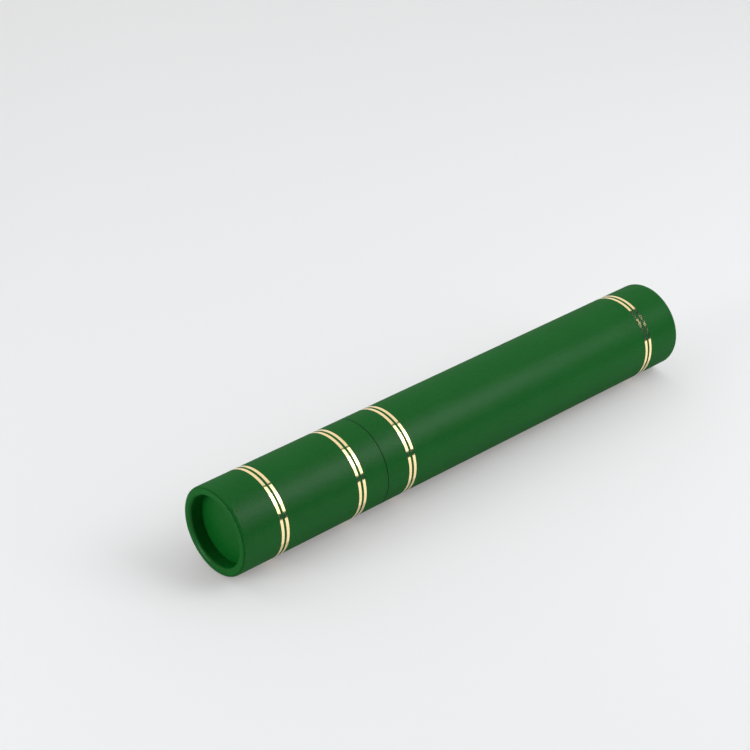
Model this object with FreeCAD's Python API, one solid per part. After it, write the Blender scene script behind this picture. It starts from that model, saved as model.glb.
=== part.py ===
"""Diploma tube: a round card tube with a lift-off cap, for one rolled certificate.

Two straight-wound board tubes of one diameter are covered with leatherette
paper and stamped with pairs of foil lines. Each is rolled in at its closed end,
and the roll grips a recessed disc. A long inner tube is glued into the body and
stands out of its mouth as the neck that the cap slides over.

The tube stands on the body's rolled rim: Z = 0 is the crest of that rim, and the
axis of the tube is Z, with the cap on top. Lengths are in millimetres.
"""
import FreeCAD, Part

import math
import os

# overall sizes
TUBE_DIAMETER = 50.0        # over the leatherette, body and cap alike
BODY_LENGTH = 230.0         # rim crest to mouth
CAP_LENGTH = 97.5           # mouth to rim crest

# paper and board
COVER_THICKNESS = 0.3       # leatherette paper
BOARD_THICKNESS = 1.5       # wall of the body and cap tubes
INNER_WALL = 1.0            # wall of the inner tube
DISC_THICKNESS = 2.0        # end discs

# rolled end
RIM_WIDTH = 5.0             # across the roll, over the leatherette
CORNER_RADIUS = 2.0         # of the two quarter turns, over the leatherette
RECESS_DEPTH = 8.0          # rim crest to the face of the disc
SKIN_STEPS = 3              # steps of a quarter turn on the skin
GLUED_STEPS = 1             # and on the hidden face that is glued to the board

# neck
NECK_LENGTH = 56.0          # how far the inner tube stands out of the body
NECK_CLEARANCE = 0.2        # radial, inner tube in the tubes that go over it
NECK_LEAD_IN = 0.4          # chamfer on the neck's outer edge
DISC_CLEARANCE = 0.1        # radial, end disc in its tube

# foil lines, in pairs
FOIL_THICKNESS = 0.05
FOIL_LINE_WIDTH = 1.7
FOIL_LINE_PITCH = 3.3
BODY_PAIR_FROM_RIM = 25.5   # centre of the pair to the closed end
BODY_PAIR_FROM_MOUTH = 17.5
CAP_PAIR_FROM_RIM = 27.0
CAP_PAIR_FROM_MOUTH = 18.0

# worked out from the above
OUTER_RADIUS = TUBE_DIAMETER / 2
WALL = COVER_THICKNESS + BOARD_THICKNESS
BORE_RADIUS = OUTER_RADIUS - WALL
NECK_RADIUS = BORE_RADIUS - NECK_CLEARANCE
CAP_TOP = BODY_LENGTH + CAP_LENGTH

AXIS_BASE = FreeCAD.Vector(0, 0, 0)
AXIS = FreeCAD.Vector(0, 0, 1)


class End:
    """A closed end: where its crest is, and which way the tube runs from it."""

    def __init__(self, crest_z, inward):
        self.crest_z = crest_z
        self.inward = inward

    def point(self, radius, depth):
        """Point of the section at a radius and a depth below the crest."""
        return FreeCAD.Vector(radius, 0, self.crest_z + self.inward * depth)


def revolved(corners):
    """Full turn of a closed section, given by its corners, about the tube's axis."""
    section = Part.Face(Part.makePolygon(corners + corners[:1]))
    return section.revolve(AXIS_BASE, AXIS, 360)


def ring(inner_radius, outer_radius, bottom, top):
    """Plain round tube."""
    outer = Part.makeCylinder(outer_radius, top - bottom, FreeCAD.Vector(0, 0, bottom))
    inner = Part.makeCylinder(inner_radius, top - bottom, FreeCAD.Vector(0, 0, bottom))
    return outer.cut(inner)


def turn(end, centre_radius, radius, start, steps):
    """Points of a quarter turn of the wall, from the start angle on.

    Angles are in degrees, from pointing outwards (0) over the crest (90) to inwards (180).
    """
    points = []
    for step in range(steps + 1):
        angle = math.radians(start + 90 * step / steps)
        across = centre_radius + radius * math.cos(angle)
        points.append(end.point(across, CORNER_RADIUS - radius * math.sin(angle)))
    return points


def rolled_face(end, length, offset, steps):
    """Section of one face of the wall, a given offset under the outer skin.

    It runs from the mouth along the outside, over the crest in two quarter
    turns, and down inside as far as the disc.
    """
    radius = CORNER_RADIUS - offset
    outer_centre = OUTER_RADIUS - CORNER_RADIUS
    inner_centre = OUTER_RADIUS - RIM_WIDTH + CORNER_RADIUS
    mouth = end.point(OUTER_RADIUS - offset, length)
    foot = end.point(OUTER_RADIUS - RIM_WIDTH + offset, RECESS_DEPTH)
    outer_turn = turn(end, outer_centre, radius, 0, steps)
    inner_turn = turn(end, inner_centre, radius, 90, steps)
    return [mouth, *outer_turn, *inner_turn, foot]


def board_bore(end, length):
    """Section of the board's inner face, which folds sharply inside the roll."""
    leg_radius = OUTER_RADIUS - RIM_WIDTH + WALL
    return [
        end.point(BORE_RADIUS, length),
        end.point(BORE_RADIUS, WALL),
        end.point(leg_radius, WALL),
        end.point(leg_radius, RECESS_DEPTH),
    ]


def cover(end, length):
    """Leatherette paper, wrapped round the board and carried over its roll."""
    skin = rolled_face(end, length, 0.0, SKIN_STEPS)
    back = rolled_face(end, length, COVER_THICKNESS, GLUED_STEPS)
    return revolved(skin + back[::-1])


def board_tube(end, length):
    """Wound board tube with its closed end rolled in and down to the disc."""
    front = rolled_face(end, length, COVER_THICKNESS, GLUED_STEPS)
    return revolved(front + board_bore(end, length)[::-1])


def end_disc(end):
    """Covered board disc, pressed against the end of the roll from inside."""
    outer_face = end.point(0, RECESS_DEPTH)
    inner_face = end.point(0, RECESS_DEPTH + DISC_THICKNESS)
    base = min(outer_face, inner_face, key=lambda point: point.z)
    return Part.makeCylinder(BORE_RADIUS - DISC_CLEARANCE, DISC_THICKNESS, base)


def foil_pairs(centres):
    """Foil rings, two at each centre height, as one group of separate solids."""
    rings = []
    for centre in centres:
        for side in (-0.5, 0.5):
            middle = centre + side * FOIL_LINE_PITCH
            rings.append(
                ring(
                    OUTER_RADIUS,
                    OUTER_RADIUS + FOIL_THICKNESS,
                    middle - FOIL_LINE_WIDTH / 2,
                    middle + FOIL_LINE_WIDTH / 2,
                )
            )
    return Part.makeCompound(rings)


def inner_tube():
    """Liner from the body's disc up through the mouth, with an eased outer edge."""
    bottom = RECESS_DEPTH + DISC_THICKNESS
    top = BODY_LENGTH + NECK_LENGTH
    bore = NECK_RADIUS - INNER_WALL
    corners = [
        FreeCAD.Vector(bore, 0, bottom),
        FreeCAD.Vector(NECK_RADIUS, 0, bottom),
        FreeCAD.Vector(NECK_RADIUS, 0, top - NECK_LEAD_IN),
        FreeCAD.Vector(NECK_RADIUS - NECK_LEAD_IN, 0, top),
        FreeCAD.Vector(bore, 0, top),
    ]
    return revolved(corners)


def build():
    body_end = End(0.0, 1)
    cap_end = End(CAP_TOP, -1)
    return {
        "body_tube": board_tube(body_end, BODY_LENGTH),
        "body_cover": cover(body_end, BODY_LENGTH),
        "body_foil_lines": foil_pairs([BODY_PAIR_FROM_RIM, BODY_LENGTH - BODY_PAIR_FROM_MOUTH]),
        "body_end_disc": end_disc(body_end),
        "inner_tube": inner_tube(),
        "cap_tube": board_tube(cap_end, CAP_LENGTH),
        "cap_cover": cover(cap_end, CAP_LENGTH),
        "cap_foil_lines": foil_pairs(
            [BODY_LENGTH + CAP_PAIR_FROM_MOUTH, CAP_TOP - CAP_PAIR_FROM_RIM]
        ),
        "cap_end_disc": end_disc(cap_end),
    }


os.makedirs("parts", exist_ok=True)
for name, shape in build().items():
    assert shape.isValid(), name
    box = shape.BoundBox
    print(f"{name}: {len(shape.Solids)} solid(s), {shape.Volume:.0f} mm3, z {box.ZMin:.2f} to {box.ZMax:.2f}")
    shape.exportStep(f"parts/{name}.step")
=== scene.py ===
# Diploma tube: green leatherette over wound board, foil lines, white neck under the cap.
# The tube stands on its rolled rim along Z. The studio is laid out beside it, so that to
# the camera it lies on its side: the table is the plane y = +radius and "up" is -Y.
import bpy
import math
from mathutils import Matrix, Vector


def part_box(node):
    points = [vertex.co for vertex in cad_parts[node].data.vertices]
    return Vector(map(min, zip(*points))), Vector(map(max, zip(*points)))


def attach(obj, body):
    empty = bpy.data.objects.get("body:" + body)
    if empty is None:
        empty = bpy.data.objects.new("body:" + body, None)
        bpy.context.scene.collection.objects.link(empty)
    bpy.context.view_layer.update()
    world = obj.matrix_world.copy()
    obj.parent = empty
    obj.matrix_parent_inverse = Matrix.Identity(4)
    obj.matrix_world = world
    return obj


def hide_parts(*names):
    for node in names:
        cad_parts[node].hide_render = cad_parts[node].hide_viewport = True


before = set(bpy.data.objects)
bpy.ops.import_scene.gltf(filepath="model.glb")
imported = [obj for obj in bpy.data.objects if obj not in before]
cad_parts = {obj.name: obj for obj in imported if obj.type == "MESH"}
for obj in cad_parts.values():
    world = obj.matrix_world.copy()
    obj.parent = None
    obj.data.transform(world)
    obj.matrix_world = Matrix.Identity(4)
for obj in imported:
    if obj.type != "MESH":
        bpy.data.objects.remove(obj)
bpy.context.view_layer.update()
mm = 0.001

bodyLow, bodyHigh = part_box("body_cover")
capLow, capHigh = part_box("cap_cover")
bodyDiscLow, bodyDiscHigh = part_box("body_end_disc")
capDiscLow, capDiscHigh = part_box("cap_end_disc")
linerLow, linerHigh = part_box("inner_tube")

smoothAngle = math.radians(35)
reach = 0.05 * mm  # how near faces and edges are to the place that they are chosen by
tubeRadius = bodyHigh.x
tubeLength = capHigh.z
discRadius = bodyDiscHigh.x
neckRadius = linerHigh.x
print("frame: radius", round(tubeRadius, 4), "length", round(tubeLength, 4))


def pick(piece):
    bpy.ops.object.select_all(action="DESELECT")
    piece.select_set(True)
    bpy.context.view_layer.objects.active = piece


def clearChoice(piece, kind):
    # drops what was selected, and sets whether faces or edges are chosen next
    pick(piece)
    bpy.ops.object.mode_set(mode="EDIT")
    bpy.ops.mesh.select_mode(type=kind)
    bpy.ops.mesh.select_all(action="DESELECT")
    bpy.ops.object.mode_set(mode="OBJECT")


def backToObject():
    bpy.ops.object.mode_set(mode="OBJECT")


def chooseFaces(piece, test):
    clearChoice(piece, "FACE")
    for face in piece.data.polygons:
        face.select = test(face)
    bpy.ops.object.mode_set(mode="EDIT")


def endAt(height):
    # a round end: the ends are the only faces with more than four corners
    return lambda face: len(face.vertices) > 4 and abs(face.center.z - height) < reach


def chooseRing(piece, radius, height):
    # every edge whose two ends lie on one circle round the tube's axis
    clearChoice(piece, "EDGE")
    points = piece.data.vertices

    def onRing(index):
        place = points[index].co
        return abs(math.hypot(place.x, place.y) - radius) < reach and abs(place.z - height) < reach

    for edge in piece.data.edges:
        edge.select = all(onRing(index) for index in edge.vertices)
    bpy.ops.object.mode_set(mode="EDIT")


def settle(piece, name, body, node, material):
    # place into the mesh, smooth shading, then the frame's rows
    pick(piece)
    bpy.ops.object.transform_apply(location=True, rotation=True, scale=True)
    bpy.ops.object.shade_smooth_by_angle(angle=smoothAngle)
    # the long faces keep their own normals, so that gloss runs straight up to each rim
    normals = piece.modifiers.new("normals", "WEIGHTED_NORMAL")
    normals.keep_sharp = True
    bpy.ops.object.modifier_apply(modifier=normals.name)
    piece.name = name
    piece.data.name = name
    piece.data.materials.clear()
    piece.data.materials.append(material)
    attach(piece, body)
    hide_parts(node)


def openTube(radius, low, high, sides, fill="NOTHING"):
    bpy.ops.object.select_all(action="DESELECT")
    bpy.ops.mesh.primitive_cylinder_add(
        vertices=sides, radius=radius, depth=high - low,
        end_fill_type=fill, location=(0, 0, (low + high) / 2))
    piece = bpy.context.object
    bpy.ops.object.transform_apply(location=True, rotation=True, scale=True)
    return piece


def thicken(piece, thickness):
    # a wall inside the surface that is there
    wall = piece.modifiers.new("wall", "SOLIDIFY")
    wall.thickness = thickness
    wall.offset = -1
    wall.use_even_offset = True
    pick(piece)
    bpy.ops.object.modifier_apply(modifier=wall.name)


def newMaterial(name):
    material = bpy.data.materials.new(name)
    material.use_nodes = True
    tree = material.node_tree
    tree.nodes.clear()
    out = tree.nodes.new("ShaderNodeOutputMaterial")
    shader = tree.nodes.new("ShaderNodeBsdfPrincipled")
    tree.links.new(shader.outputs["BSDF"], out.inputs["Surface"])
    place = tree.nodes.new("ShaderNodeTexCoord").outputs["Object"]
    return material, tree, shader, place


def addNoise(tree, place, scale, detail, roughness=0.5):
    noise = tree.nodes.new("ShaderNodeTexNoise")
    noise.inputs["Scale"].default_value = scale
    noise.inputs["Detail"].default_value = detail
    noise.inputs["Roughness"].default_value = roughness
    tree.links.new(place, noise.inputs["Vector"])
    return noise.outputs["Fac"]


def addRange(tree, value, fromLow, fromHigh, toLow, toHigh):
    span = tree.nodes.new("ShaderNodeMapRange")
    span.inputs["From Min"].default_value = fromLow
    span.inputs["From Max"].default_value = fromHigh
    span.inputs["To Min"].default_value = toLow
    span.inputs["To Max"].default_value = toHigh
    tree.links.new(value, span.inputs["Value"])
    return span.outputs["Result"]


def addMath(tree, operation, first, second=None):
    node = tree.nodes.new("ShaderNodeMath")
    node.operation = operation
    for socket, value in zip(node.inputs, (first, second)):
        if isinstance(value, (int, float)):
            socket.default_value = value
        elif value is not None:
            tree.links.new(value, socket)
    return node.outputs[0]


def addMix(tree, factor, first, second):
    mix = tree.nodes.new("ShaderNodeMix")
    mix.data_type = "RGBA"  # its two colours are sockets 6 and 7
    tree.links.new(factor, mix.inputs["Factor"])
    for socket, value in ((mix.inputs[6], first), (mix.inputs[7], second)):
        if isinstance(value, tuple):
            socket.default_value = (*value, 1)
        else:
            tree.links.new(value, socket)
    return mix.outputs[2]


def addParts(tree, place):
    parts = tree.nodes.new("ShaderNodeSeparateXYZ")
    tree.links.new(place, parts.inputs["Vector"])
    return parts.outputs


def addFromAxis(tree, parts):
    # distance from the tube's axis
    squares = [addMath(tree, "MULTIPLY", parts[axis], parts[axis]) for axis in "XY"]
    return addMath(tree, "SQRT", addMath(tree, "ADD", *squares))


def addSeen(tree):
    # 1 for what is looked at, straight or in gloss or through glass, and 0 for the rest of the light
    rays = tree.nodes.new("ShaderNodeLightPath")
    either = addMath(tree, "MAXIMUM", rays.outputs["Is Camera Ray"], rays.outputs["Is Glossy Ray"])
    return addMath(tree, "MAXIMUM", either, rays.outputs["Is Transmission Ray"])


def addBump(tree, height, distance, strength, under=None):
    bump = tree.nodes.new("ShaderNodeBump")
    bump.inputs["Distance"].default_value = distance
    bump.inputs["Strength"].default_value = strength
    tree.links.new(height, bump.inputs["Height"])
    if under is not None:
        tree.links.new(under, bump.inputs["Normal"])
    return bump.outputs["Normal"]


def addGrain(tree, place, grain):
    # pebbled leather grain: small cells with softened creases between them
    warp = tree.nodes.new("ShaderNodeTexNoise")
    warp.inputs["Scale"].default_value = grain["warpScale"]
    tree.links.new(place, warp.inputs["Vector"])
    shifted = tree.nodes.new("ShaderNodeMix")
    shifted.data_type = "VECTOR"  # its two vectors are sockets 4 and 5
    shifted.inputs[0].default_value = grain["warp"]
    tree.links.new(place, shifted.inputs[4])
    tree.links.new(warp.outputs["Color"], shifted.inputs[5])
    cells = tree.nodes.new("ShaderNodeTexVoronoi")
    cells.feature = "SMOOTH_F1"
    cells.inputs["Scale"].default_value = 1 / grain["cell"]
    cells.inputs["Smoothness"].default_value = grain["cellSoftness"]
    tree.links.new(shifted.outputs[1], cells.inputs["Vector"])
    return addRange(tree, cells.outputs["Distance"], *grain["cellSpan"], 1, 0)


# noises are given as scale, detail and, where it matters, roughness; spans as low and high
leatherette = {
    "green": (0.002, 0.084, 0.0085),
    "greenLight": (0.0045, 0.101, 0.013),
    "tintSpan": (0.25, 0.85),
    "roughness": (0.45, 0.55),
    "finish": 0.14,
    "finishRoughness": 0.33,
    "finishIor": 1.8,
    "cell": 1.05 * mm,
    "cellSoftness": 0.6,
    "cellSpan": (0.1, 0.8),
    "warp": 0.0006,
    "warpScale": 700.0,
    "grainDepth": 0.11 * mm,
    "grainStrength": 0.55,
    "fine": (5200.0, 2.0),
    "fineSpan": (0.3, 0.7),
    "finePart": 0.35,
    "patches": (38.0, 3.0),
    "patchPart": 0.6,
    "waves": (30.0, 1.0),
    "waveDepth": 0.25 * mm,
    "waveStrength": 0.35,
    # painted shade of the joint between cap and body, laid over the paper's darker cut edge
    "cutEdgeAndJointShade": (0.001, 0.022, 0.003),
    "cutEdgeAndJointShadeSpan": (0.135 * mm, 0.45 * mm),
}


def makeLeatherette():
    material, tree, shader, place = newMaterial("greenLeatherette")
    grain = addGrain(tree, place, leatherette)
    fine = addNoise(tree, place, *leatherette["fine"])
    patches = addNoise(tree, place, *leatherette["patches"])
    tint = addMath(tree, "ADD", addMath(tree, "MULTIPLY", patches, leatherette["patchPart"]),
                   addMath(tree, "MULTIPLY", grain, 1 - leatherette["patchPart"]))
    colour = addMix(tree, addRange(tree, tint, *leatherette["tintSpan"], 0, 1),
                    leatherette["green"], leatherette["greenLight"])
    # the paper's cut edge is darker, and painted shade darkens the joint further, at the mouths where cap
    # and body meet
    height = addParts(tree, place)["Z"]
    fromMouth = addMath(tree, "ABSOLUTE", addMath(tree, "SUBTRACT", height, bodyHigh.z))
    atEdgeAndJointShade = addRange(tree, fromMouth, *leatherette["cutEdgeAndJointShadeSpan"], 1, 0)
    colour = addMix(tree, atEdgeAndJointShade, colour, leatherette["cutEdgeAndJointShade"])
    tree.links.new(colour, shader.inputs["Base Color"])
    rough = addRange(tree, fine, *leatherette["fineSpan"], *leatherette["roughness"])
    tree.links.new(rough, shader.inputs["Roughness"])
    # a thin flat finish carries the gloss, so that the grain's edges don't whiten
    shader.inputs["Specular IOR Level"].default_value = 0.0
    shader.inputs["Coat Weight"].default_value = leatherette["finish"]
    shader.inputs["Coat Roughness"].default_value = leatherette["finishRoughness"]
    shader.inputs["Coat IOR"].default_value = leatherette["finishIor"]
    relief = addMath(tree, "ADD", grain, addMath(tree, "MULTIPLY", fine, leatherette["finePart"]))
    waves = addNoise(tree, place, *leatherette["waves"])
    wavy = addBump(tree, waves, leatherette["waveDepth"], leatherette["waveStrength"])
    normal = addBump(tree, relief, leatherette["grainDepth"], leatherette["grainStrength"], wavy)
    tree.links.new(normal, shader.inputs["Normal"])
    tree.links.new(normal, shader.inputs["Coat Normal"])
    return material


foil = {
    "gold": (1.0, 0.79, 0.46),
    "goldDeep": (0.96, 0.70, 0.34),
    "wear": (900.0, 4.0),
    "colourSpan": (0.35, 0.75),
    "roughSpan": (0.3, 0.8),
    "roughness": (0.06, 0.16),
    "grainDepth": 0.012 * mm,
    "grainStrength": 0.5,
    "proud": 0.03 * mm,
    "depth": 0.12 * mm,
}


def makeFoilMaterial():
    material, tree, shader, place = newMaterial("goldFoil")
    # the paper's grain shows through the foil stamped on it
    grain = addGrain(tree, place, leatherette)
    wear = addNoise(tree, place, *foil["wear"])
    colour = addMix(tree, addRange(tree, wear, *foil["colourSpan"], 0, 1), foil["gold"], foil["goldDeep"])
    tree.links.new(colour, shader.inputs["Base Color"])
    shader.inputs["Metallic"].default_value = 1.0
    rough = addRange(tree, wear, *foil["roughSpan"], *foil["roughness"])
    tree.links.new(rough, shader.inputs["Roughness"])
    normal = addBump(tree, grain, foil["grainDepth"], foil["grainStrength"])
    tree.links.new(normal, shader.inputs["Normal"])
    return material


board = {
    "grey": (0.50, 0.46, 0.40),
    "pale": (0.66, 0.62, 0.55),
    "colourSpan": (0.3, 0.75),
    "ply": 0.3 * mm,
    "plyPart": 0.12,
    "fibres": (2600.0, 5.0, 0.65),
    "roughSpan": (0.2, 0.8),
    "roughness": (0.8, 0.95),
    "depth": 0.03 * mm,
    "strength": 0.5,
}


def makeBoard():
    # wound board: the plies show as rings on a cut edge
    material, tree, shader, place = newMaterial("tubeBoard")
    fromAxis = addFromAxis(tree, addParts(tree, place))
    plies = addMath(tree, "SINE", addMath(tree, "MULTIPLY", fromAxis, 2 * math.pi / board["ply"]))
    rings = addMath(tree, "MULTIPLY", plies, board["plyPart"])
    fibres = addNoise(tree, place, *board["fibres"])
    mixed = addMath(tree, "ADD", rings, fibres)
    colour = addMix(tree, addRange(tree, mixed, *board["colourSpan"], 0, 1), board["grey"], board["pale"])
    tree.links.new(colour, shader.inputs["Base Color"])
    rough = addRange(tree, fibres, *board["roughSpan"], *board["roughness"])
    tree.links.new(rough, shader.inputs["Roughness"])
    tree.links.new(addBump(tree, mixed, board["depth"], board["strength"]), shader.inputs["Normal"])
    return material


paper = {
    "white": (0.76, 0.76, 0.79),
    "whiteWarm": (0.80, 0.79, 0.80),
    "insideGrey": (0.36, 0.36, 0.37),
    "insidePale": (0.46, 0.46, 0.46),
    "roughness": {"outside": 0.55, "inside": 0.9},
    "faceDepth": (0.35 * mm, 0.25 * mm),
    "clouds": (60.0, 2.0),
    "fibres": (3000.0, 4.0, 0.6),
    "fibreSpan": (0.3, 0.7),
    "fibreDepth": 0.015 * mm,
    "fibreStrength": 0.4,
    "spiralPitch": 78.0 * mm,
    "spiralEdge": 0.012,
    "spiralDepth": 0.12 * mm,
    "spiralStrength": 0.6,
}


def makeLiner():
    # white paper outside, grey board inside with the edge of its winding
    material, tree, shader, place = newMaterial("whiteLiner")
    parts = addParts(tree, place)
    deep, shallow = paper["faceDepth"]
    outside = addRange(tree, addFromAxis(tree, parts), neckRadius - deep, neckRadius - shallow, 0, 1)
    fibres = addNoise(tree, place, *paper["fibres"])
    clouds = addNoise(tree, place, *paper["clouds"])
    white = addMix(tree, clouds, paper["white"], paper["whiteWarm"])
    greyPart = addRange(tree, fibres, *paper["fibreSpan"], 0, 1)
    grey = addMix(tree, greyPart, paper["insideGrey"], paper["insidePale"])
    tree.links.new(addMix(tree, outside, grey, white), shader.inputs["Base Color"])
    rough = addRange(tree, outside, 0, 1, paper["roughness"]["inside"], paper["roughness"]["outside"])
    tree.links.new(rough, shader.inputs["Roughness"])
    # the winding's edge climbs one pitch in a turn, and shows inside only
    turnPart = addMath(tree, "DIVIDE", addMath(tree, "ARCTAN2", parts["Y"], parts["X"]), 2 * math.pi)
    climb = addMath(tree, "DIVIDE", parts["Z"], paper["spiralPitch"])
    winding = addMath(tree, "FRACT", addMath(tree, "ADD", climb, turnPart))
    step = addRange(tree, winding, 0, paper["spiralEdge"], 0, 1)
    inside = addMath(tree, "SUBTRACT", 1.0, outside)
    edge = addMath(tree, "MULTIPLY", step, inside)
    wound = addBump(tree, edge, paper["spiralDepth"], paper["spiralStrength"])
    normal = addBump(tree, fibres, paper["fibreDepth"], paper["fibreStrength"], wound)
    tree.links.new(normal, shader.inputs["Normal"])
    return material


greenLeatherette = makeLeatherette()
goldFoil = makeFoilMaterial()
tubeBoard = makeBoard()
whiteLiner = makeLiner()
print("materials made")


cover = {
    "sides": 256,
    "rimWidth": 5.0 * mm,
    "cornerRadius": 2.0 * mm,
    "cornerSteps": 8,
    "paper": 0.3 * mm,
    "mouthRound": 0.26 * mm,
    "mouthSteps": 3,
    "creaseDepth": 0.26 * mm,
}


def makeCover(name, body, node, crest, mouth, discFace):
    # one sheet: down the outside, over the roll, and in as far as the disc
    low, high = min(crest, mouth), max(crest, mouth)
    piece = openTube(tubeRadius, low, high, cover["sides"], "NGON")
    inwards = 1 if mouth > crest else -1
    chooseFaces(piece, endAt(mouth))
    bpy.ops.mesh.delete(type="ONLY_FACE")
    backToObject()
    chooseFaces(piece, endAt(crest))
    bpy.ops.mesh.inset(thickness=cover["rimWidth"], depth=0)
    recess = abs(discFace - crest)
    bpy.ops.mesh.extrude_region_move(TRANSFORM_OT_translate={"value": (0, 0, inwards * recess)})
    bpy.ops.mesh.delete(type="ONLY_FACE")
    backToObject()
    for radius in (tubeRadius, tubeRadius - cover["rimWidth"]):
        chooseRing(piece, radius, crest)
        bpy.ops.mesh.bevel(offset=cover["cornerRadius"], segments=cover["cornerSteps"], profile=0.5)
        backToObject()
    # the paper creases half way round the outer corner, where it turns over the rim
    drop = cover["cornerRadius"] * (1 - math.sqrt(0.5))
    chooseRing(piece, tubeRadius - drop, crest + inwards * drop)
    sink = cover["creaseDepth"]
    narrow = (tubeRadius - drop - sink) / (tubeRadius - drop)
    bpy.ops.transform.resize(value=(narrow, narrow, 1), center_override=(0, 0, 0))
    bpy.ops.transform.translate(value=(0, 0, inwards * sink))
    backToObject()
    thicken(piece, cover["paper"])
    chooseRing(piece, tubeRadius, mouth)
    bpy.ops.mesh.bevel(offset=cover["mouthRound"], segments=cover["mouthSteps"], profile=0.5)
    backToObject()
    settle(piece, name, body, node, greenLeatherette)


makeCover("bodyCover", "body", "body_cover", bodyLow.z, bodyHigh.z, bodyDiscLow.z)
makeCover("capCover", "cap", "cap_cover", capHigh.z, capLow.z, capDiscHigh.z)
print("covers made")


endDisc = {
    "sides": 256,
    "dish": 0.25 * mm,
    "rings": (3.0 * mm, 6.0 * mm),
    "edgeRound": 0.3 * mm,
    "edgeSteps": 3,
}


def makeEndDisc(name, body, node, low, high, outwards):
    # board disc with its paper face, very slightly dished by the roll that grips it
    piece = openTube(discRadius, low.z, high.z, endDisc["sides"], "NGON")
    face = low.z if outwards < 0 else high.z
    chooseFaces(piece, endAt(face))
    for ring in endDisc["rings"]:
        bpy.ops.mesh.inset(thickness=ring, depth=0)
    bpy.ops.transform.translate(value=(0, 0, -outwards * endDisc["dish"]))
    backToObject()
    chooseRing(piece, discRadius, face)
    bpy.ops.mesh.bevel(offset=endDisc["edgeRound"], segments=endDisc["edgeSteps"], profile=0.5)
    backToObject()
    settle(piece, name, body, node, greenLeatherette)


makeEndDisc("bodyEndDisc", "body", "body_end_disc", bodyDiscLow, bodyDiscHigh, -1)
makeEndDisc("capEndDisc", "cap", "cap_end_disc", capDiscLow, capDiscHigh, 1)
print("end discs made")


foilLines = {"sides": 256, "width": 1.75 * mm, "pitch": 3.3 * mm}


def makeFoilLines(name, body, node):
    # the outermost lines give where both pairs are
    low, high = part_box(node)
    half = foilLines["width"] / 2
    middles = (low.z + half, low.z + half + foilLines["pitch"],
               high.z - half - foilLines["pitch"], high.z - half)
    rings = []
    for middle in middles:
        line = openTube(tubeRadius + foil["proud"], middle - half, middle + half, foilLines["sides"])
        thicken(line, foil["depth"])
        rings.append(line)
    pick(rings[0])
    for line in rings[1:]:
        line.select_set(True)
    bpy.ops.object.join()
    settle(rings[0], name, body, node, goldFoil)


makeFoilLines("bodyFoilLines", "body", "body_foil_lines")
makeFoilLines("capFoilLines", "cap", "cap_foil_lines")
print("foil lines made")


liner = {
    "sides": 256,
    "wall": 1.0 * mm,
    "lipOutside": 0.4 * mm,
    "lipInside": 0.2 * mm,
    "lipSteps": 3,
}


def makeLinerTube():
    piece = openTube(neckRadius, linerLow.z, linerHigh.z, liner["sides"])
    thicken(piece, liner["wall"])
    lips = {neckRadius: liner["lipOutside"], neckRadius - liner["wall"]: liner["lipInside"]}
    for radius, size in lips.items():
        chooseRing(piece, radius, linerHigh.z)
        bpy.ops.mesh.bevel(offset=size, segments=liner["lipSteps"], profile=0.5)
        backToObject()
    settle(piece, "innerTube", "body", "inner_tube", whiteLiner)


makeLinerTube()
for node in ("body_tube", "cap_tube"):
    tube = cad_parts[node]
    tube.data.materials.clear()
    tube.data.materials.append(tubeBoard)
print("liner and board tubes made")


# directions on the table: rightwards and away as the camera sees them, and up off it
rightwards = Vector((-0.676, 0, -0.737))
away = Vector((0.737, 0, -0.676))
upwards = Vector((0, -1, 0))
tubeMiddle = Vector((0, 0, tubeLength / 2))


def studioPlace(right, back, up):
    # metres from the middle of the tube, up from the table
    ground = tubeMiddle - upwards * tubeRadius
    return ground + rightwards * right + away * back + upwards * up


def aimAt(thing, target, hint=upwards, turn=0.0):
    # local -Z to the target, local +Y as near the hint as it can be
    ahead = (target - thing.location).normalized()
    side = ahead.cross(hint).normalized()
    top = side.cross(ahead)
    axes = Matrix((side, top, -ahead)).transposed()
    thing.rotation_euler = (axes @ Matrix.Rotation(turn, 3, "Z")).to_euler()


table = {
    "size": 8.0,
    "colour": (0.775, 0.823, 0.828),
    "shade": (0.708, 0.752, 0.757),
    "shadeSpan": (-0.25, 0.25),
    "roughness": 0.9,
    "specular": 0.1,
    "glow": (0.88, 0.78, 0.80),
    "glowPart": 0.26,
}


def makeTablePaper():
    material, tree, shader, place = newMaterial("tablePaper")
    # a shade deeper on the window's side, which evens out its light
    across = addRange(tree, addParts(tree, place)["X"], *table["shadeSpan"], 0, 1)
    tree.links.new(addMix(tree, across, table["colour"], table["shade"]), shader.inputs["Base Color"])
    shader.inputs["Roughness"].default_value = table["roughness"]
    shader.inputs["Specular IOR Level"].default_value = table["specular"]
    # a little glow, seen straight and in gloss, lifts the tube's shadow
    glow = tree.nodes.new("ShaderNodeEmission")
    glow.inputs["Color"].default_value = (*table["glow"], 1)
    lifted = tree.nodes.new("ShaderNodeMixShader")
    tree.links.new(addMath(tree, "MULTIPLY", addSeen(tree), table["glowPart"]), lifted.inputs[0])
    tree.links.new(shader.outputs["BSDF"], lifted.inputs[1])
    tree.links.new(glow.outputs["Emission"], lifted.inputs[2])
    # clear from below, so that views from there look through it
    side = tree.nodes.new("ShaderNodeNewGeometry").outputs["Backfacing"]
    clear = tree.nodes.new("ShaderNodeBsdfTransparent").outputs["BSDF"]
    oneSided = tree.nodes.new("ShaderNodeMixShader")
    tree.links.new(side, oneSided.inputs[0])
    tree.links.new(lifted.outputs["Shader"], oneSided.inputs[1])
    tree.links.new(clear, oneSided.inputs[2])
    out = next(node for node in tree.nodes if node.type == "OUTPUT_MATERIAL")
    tree.links.new(oneSided.outputs[0], out.inputs["Surface"])
    return material


def makeTable():
    bpy.ops.object.select_all(action="DESELECT")
    bpy.ops.mesh.primitive_plane_add(size=table["size"], location=studioPlace(0, 0, 0))
    plane = bpy.context.object
    plane.name = "table"
    aimAt(plane, studioPlace(0, 0, -1), hint=away)
    plane.data.materials.append(makeTablePaper())


makeTable()

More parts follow.
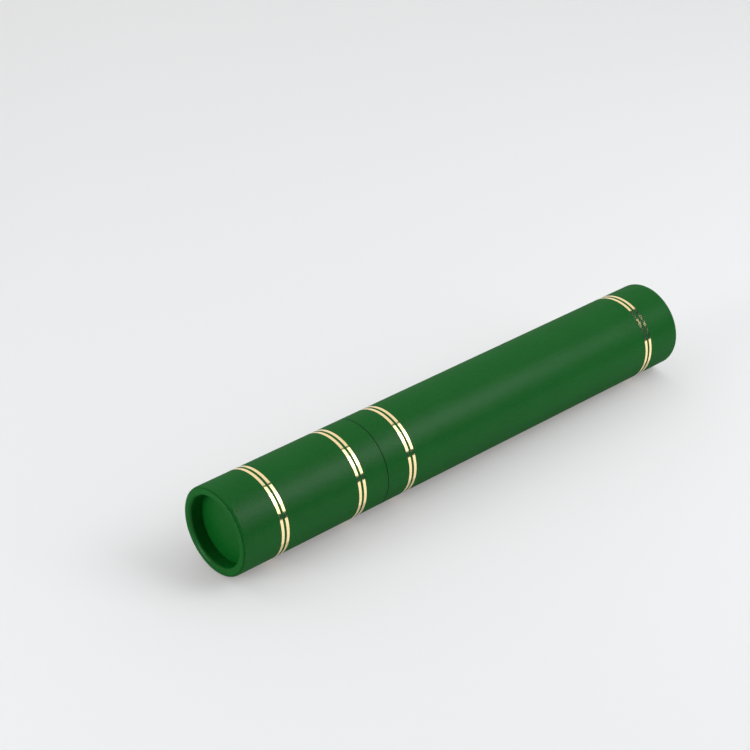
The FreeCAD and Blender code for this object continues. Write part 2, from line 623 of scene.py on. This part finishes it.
# the window's lamps and the dark card stand square to the tube, so that its foil shows
# them as straight breaks
softboxes = {
    "window": {"place": (0.862, -0.068, 0.80), "size": (1.44, 0.75), "power": 6.0},
    "windowCore": {"place": (0.838, -0.065, 0.785), "size": (0.5, 0.71), "power": 3.0},
    "front": {"place": (-1.06, -0.72, 0.34), "size": (0.5, 0.5), "power": 7.4},
    "bounce": {"place": (0.475, -0.053, 0.004), "size": (0.66, 1.3), "power": 0.75},
}
alongTube = Vector((0, 0, 1))


def squareToTube(thing):
    aimAt(thing, Vector((0, 0, thing.location.z)), hint=alongTube)


def makeSoftbox(name):
    about = softboxes[name]
    data = bpy.data.lights.new(name, "AREA")
    data.shape = "RECTANGLE"
    data.size, data.size_y = about["size"]
    data.energy = about["power"]
    lamp = bpy.data.objects.new(name, data)
    bpy.context.collection.objects.link(lamp)
    lamp.location = studioPlace(*about["place"])
    lamp.visible_camera = False
    return lamp


def makeSoftboxes():
    squareToTube(makeSoftbox("window"))
    squareToTube(makeSoftbox("windowCore"))
    aimAt(makeSoftbox("front"), Vector((0, 0, tubeLength)))
    # the bounce lies on the table in front of the tube, and only gloss sees it
    bounce = makeSoftbox("bounce")
    aimAt(bounce, bounce.location + upwards, hint=alongTube)
    bounce.visible_diffuse = False
    bounce.visible_transmission = False


makeSoftboxes()

darkCard = {
    "place": (1.077, -0.193, 0.851),
    "size": (2.665, 2.4),
    "colour": (0.0, 0.16, 0.14),
    "deep": (0.0, 0.0, 0.0),
    "nap": (400.0, 2.0),
    "roughness": 1.0,
}


def makeDarkCard():
    # behind the window light; only gloss sees it
    bpy.ops.object.select_all(action="DESELECT")
    bpy.ops.mesh.primitive_plane_add(size=1, location=studioPlace(*darkCard["place"]))
    card = bpy.context.object
    card.name = "darkCard"
    card.scale = (*darkCard["size"], 1)
    squareToTube(card)
    material, tree, shader, place = newMaterial("darkFelt")
    nap = addNoise(tree, place, *darkCard["nap"])
    tree.links.new(addMix(tree, nap, darkCard["colour"], darkCard["deep"]), shader.inputs["Base Color"])
    shader.inputs["Roughness"].default_value = darkCard["roughness"]
    card.data.materials.append(material)
    card.visible_camera = False
    card.visible_diffuse = False
    card.visible_shadow = False
    card.visible_transmission = False


makeDarkCard()

room = {
    "seen": (0.95, 0.95, 0.95),
    "fill": (1.0, 0.99, 0.985),
    "fillStrength": 1.08,
    "darkSide": (-0.626, -0.527, 0.575),
    "darkSpan": (0.2, 0.9),
    "darkest": 0.1,
}


def addBackground(tree, colour):
    background = tree.nodes.new("ShaderNodeBackground")
    background.inputs["Color"].default_value = (*colour, 1)
    return background


def makeRoom():
    world = bpy.data.worlds.new("room")
    world.use_nodes = True
    bpy.context.scene.world = world
    tree = world.node_tree
    tree.nodes.clear()
    out = tree.nodes.new("ShaderNodeOutputWorld")
    seen = addBackground(tree, room["seen"])
    fill = addBackground(tree, room["fill"])
    # the near side of the room is dark, which leaves the recess in shade
    towards = tree.nodes.new("ShaderNodeVectorMath")
    towards.operation = "DOT_PRODUCT"
    towards.inputs[1].default_value = room["darkSide"]
    tree.links.new(tree.nodes.new("ShaderNodeTexCoord").outputs["Generated"], towards.inputs[0])
    level = addRange(tree, towards.outputs["Value"], *room["darkSpan"], 1, room["darkest"])
    tree.links.new(addMath(tree, "MULTIPLY", level, room["fillStrength"]), fill.inputs["Strength"])
    mix = tree.nodes.new("ShaderNodeMixShader")
    tree.links.new(addSeen(tree), mix.inputs[0])
    tree.links.new(fill.outputs[0], mix.inputs[1])
    tree.links.new(seen.outputs[0], mix.inputs[2])
    tree.links.new(mix.outputs[0], out.inputs["Surface"])


makeRoom()
print("studio made")

camera = {
    "place": (-0.6902, -0.6323, 0.8522),
    "ahead": (0.6259, 0.5273, -0.5746),
    "turn": math.radians(1.33),
    "lens": 100.8,
}


def makeCamera():
    data = bpy.data.cameras.new("camera")
    data.lens = camera["lens"]
    eye = bpy.data.objects.new("camera", data)
    bpy.context.collection.objects.link(eye)
    eye.location = camera["place"]
    aimAt(eye, eye.location + Vector(camera["ahead"]), turn=camera["turn"])
    bpy.context.scene.camera = eye


makeCamera()
bpy.context.scene.view_settings.view_transform = "Standard"

print("done")
